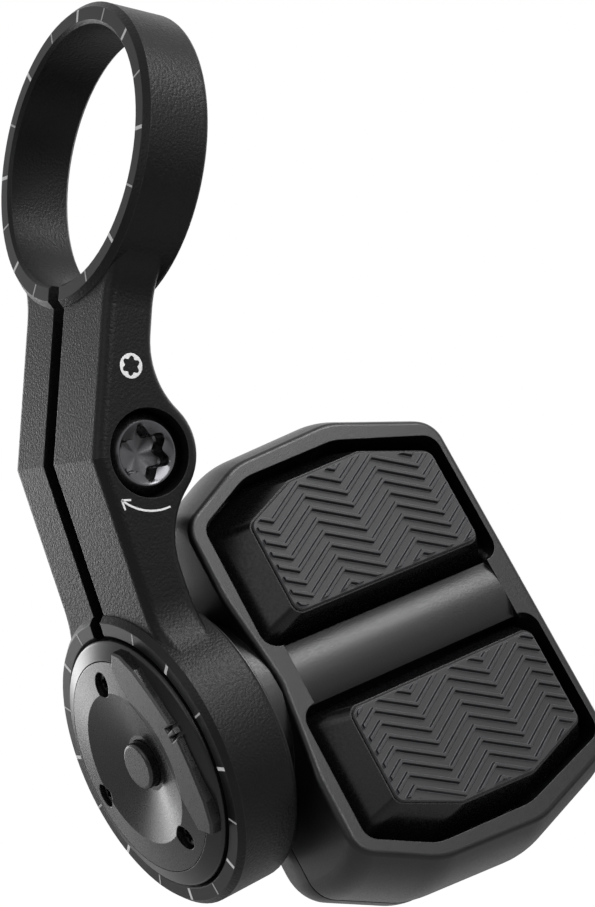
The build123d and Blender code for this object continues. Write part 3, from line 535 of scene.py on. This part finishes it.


# The rubber is a dark grey that takes no mirror, and the ribs' shoulders are painted a little paler, as a
# highlight. Its tool's texture is about 0.07 mm wide, too fine to show, and is drawn at 0.14 mm.
rubber = skin("ribbed_thermoplastic_rubber", "#1c1c1d", "#242426", "#66666a", 0.42, 0.14, 0.006,
              **{"Specular IOR Level": 0.25})
for name, side in (("upper", -1), ("lower", 1)):
    outline = round_corners([(side * across, along) for across, along in PAD_CORNERS])
    shape = bmesh.new()
    add_ribs(shape, side)
    trim_ribs(shape, inset(outline, RIB_MARGIN))
    join_rings(shape, [[shape.verts.new((*point, height)) for point in line] for line, height in (
        (outline, PAD_FOOT), (outline, PAD_PLATE - PAD_EDGE), (inset(outline, PAD_EDGE), PAD_PLATE))])
    for vertex in shape.verts:
        vertex.co = on_pod(vertex.co.z, vertex.co.x, vertex.co.y)
    pad = place_piece(f"{name}_ribbed_pad", shape, rubber)
    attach(pad, f"{name}_paddle")
    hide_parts(f"{name}_grip_pad")
dress(rubber, "upper_grip_pad", "lower_grip_pad")


# Inside: silicone seals and domes, glass-fibre boards with their switches, and a coin cell between its two
# sprung contacts. They show only where the part is taken apart.

# Moulded silicone is a dead matt black that hardly shines, and the switches' black bodies look the same.
seal = skin("moulded_silicone", "#101011", "#151516", "#202021", 0.55, 0.3, 0.004)
dress(seal, "button_seal", "cover_gasket", "hatch_seal", "upper_membrane", "lower_membrane")
dress(seal, "upper_switch", "lower_switch", "button_switch")
# Solder mask is a glossy green lacquer that ripples over the glass cloth's threads, 0.4 mm apart.
board = skin("green_solder_mask", "#0d3a1d", "#114423", "#2a6a3c", 0.3, 0.4, 0.002)
dress(board, "main_board", "button_board")
# Nickel plate mirrors warmly, with the faint ripple that deep drawing leaves in the can, 0.3 mm wide.
nickel = skin("nickel_plated_steel", "#b4b2ae", "#c0beb9", "#d0cec8", 0.22, 0.3, 0.001, Metallic=1.0)
dress(nickel, "coin_battery")
# A flash of gold over rolled bronze gives the contacts their warm yellow shine, rippled by the rolls.
gilt = skin("gold_flashed_bronze", "#c8a050", "#d0ac60", "#e0c070", 0.25, 0.3, 0.001, Metallic=1.0)
dress(gilt, "negative_contact", "positive_contact")


# Studio: a pale floor well below the part, which hangs as if on its bar, and a pale world that is white to
# the camera and in reflections, and dimmer as a light. Six soft lamps stand round the part, each with its
# place and width in metres and its power in watts.
FLOOR_DROP = 0.12
FLOOR_HALF = 2.0
FLOOR_LIFT = 0.86
AMBIENT = 0.2
TARGET = Vector((0.0, 0.014, -0.025))
SOFTBOXES = (
    ("key", (0.39, 0.014, 0.2), 0.2, 0.95),
    ("overhead", (0.22, 0.1, 0.35), 0.16, 1.35),
    ("left_low", (-0.36, -0.13, -0.2), 0.2, 0.42),
    ("left_level", (-0.42, -0.06, -0.04), 0.16, 0.42),
    ("front", (0.1, -0.43, 0.02), 0.3, 0.35),
    ("back", (-0.25, 0.42, 0.2), 0.34, 0.45),
)

# Matt paint, lifted to white where the camera sees it, so that the floor keeps only the part's shadow.
white, tree = empty_tree("pale_studio_floor")
seen = add(tree, "ShaderNodeLightPath").outputs["Is Camera Ray"]
paint = add(tree, "ShaderNodeBsdfDiffuse", {"Color": linear("#e6e6e6")}).outputs["BSDF"]
lift = add(tree, "ShaderNodeEmission", {
    "Color": linear("#ffffff"), "Strength": FLOOR_LIFT}).outputs["Emission"]
both = add(tree, "ShaderNodeAddShader", {0: paint, 1: lift}).outputs["Shader"]
blend = add(tree, "ShaderNodeMixShader", {"Fac": seen, 1: paint, 2: both}).outputs["Shader"]
add(tree, "ShaderNodeOutputMaterial", {"Surface": blend})
low = cad_box[0][2] - FLOOR_DROP
mesh = bpy.data.meshes.new("floor")
corners = ((-1, -1), (1, -1), (1, 1), (-1, 1))
mesh.from_pydata([(x * FLOOR_HALF, y * FLOOR_HALF, low) for x, y in corners], [], [(0, 1, 2, 3)])
mesh.materials.append(white)
floor = bpy.data.objects.new("floor", mesh)
bpy.context.scene.collection.objects.link(floor)

world = bpy.data.worlds.new("studio")
bpy.context.scene.world = world
world.use_nodes = True
tree = world.node_tree
tree.nodes.clear()
rays = add(tree, "ShaderNodeLightPath").outputs
seen = rays["Is Camera Ray"]
for mirrored in ("Is Glossy Ray", "Is Transmission Ray"):
    seen = add(tree, "ShaderNodeMath", {0: seen, 1: rays[mirrored]}, operation="MAXIMUM").outputs[0]
shade = add(tree, "ShaderNodeMix", {"Factor": seen, "A": AMBIENT, "B": 1.0}, data_type="FLOAT").outputs[0]
sky = add(tree, "ShaderNodeBackground", {"Color": linear("#ffffff"), "Strength": shade}).outputs["Background"]
add(tree, "ShaderNodeOutputWorld", {"Surface": sky})

for name, place, width, power in SOFTBOXES:
    lamp = bpy.data.lights.new(name, "AREA")
    lamp.size = width
    lamp.energy = power
    light = bpy.data.objects.new(name, lamp)
    light.location = place
    light.rotation_euler = (TARGET - Vector(place)).to_track_quat("-Z", "Y").to_euler()
    bpy.context.scene.collection.objects.link(light)


# Camera: it stands where the photograph was taken from, close to the part, as low as the lower ring and
# looking slightly up, on the side of the bolt's head and the paddles. Its place is in metres, and its focal
# length in pixels of the photograph.
CAMERA_PLACE = Vector((0.1690, -0.0889, -0.0469))
CAMERA_RIGHT = Vector((0.5519, 0.8322, 0.0538)).normalized()
CAMERA_FORWARD = Vector((-0.831, 0.5433, 0.1194)).normalized()
FOCAL_PIXELS = 2294.6
PHOTO_HEIGHT = 907
SENSOR = 36.0
lens = bpy.data.cameras.new("camera")
lens.sensor_width = SENSOR
lens.sensor_fit = "AUTO"
lens.lens = FOCAL_PIXELS * SENSOR / PHOTO_HEIGHT
lens.clip_start = 0.01
camera = bpy.data.objects.new("camera", lens)
turn = Matrix((CAMERA_RIGHT, CAMERA_RIGHT.cross(CAMERA_FORWARD), -CAMERA_FORWARD)).transposed()
camera.matrix_world = Matrix.Translation(CAMERA_PLACE) @ turn.to_4x4()
bpy.context.scene.collection.objects.link(camera)
bpy.context.scene.camera = camera
bpy.context.scene.view_settings.view_transform = "Standard"
